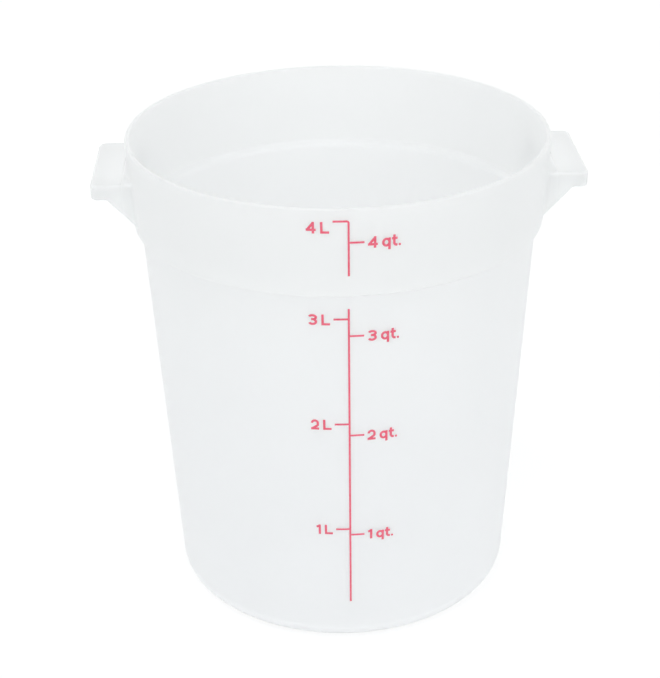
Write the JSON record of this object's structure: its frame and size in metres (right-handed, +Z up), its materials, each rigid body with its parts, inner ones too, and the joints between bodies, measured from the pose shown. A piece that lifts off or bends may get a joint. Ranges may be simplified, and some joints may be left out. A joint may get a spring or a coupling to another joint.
{
  "type": "dough proofing container",
  "caption": "Round tapered tub in translucent white plastic with a stepped collar, a hollow lip handle on each side and a red litre and quart scale.",
  "frame": {"origin": "on the surface that the tub stands on, under the tub's axis", "axes": "+Z up along the tub's axis, the handles point along +X and -X, and the printed scale faces -Y"},
  "size_m": [0.2062, 0.1793, 0.21],
  "materials": {
    "polypropylene": "satin",
    "ink": "matte"
  },
  "bodies": {
    "root": {"tub": "polypropylene", "scale_line_upper": "ink", "scale_line_lower": "ink", "litre_mark_1": "ink", "litre_mark_2": "ink", "litre_mark_3": "ink", "litre_mark_4": "ink", "quart_mark_1": "ink", "quart_mark_2": "ink", "quart_mark_3": "ink", "quart_mark_4": "ink"}
  },
  "joints": []
}
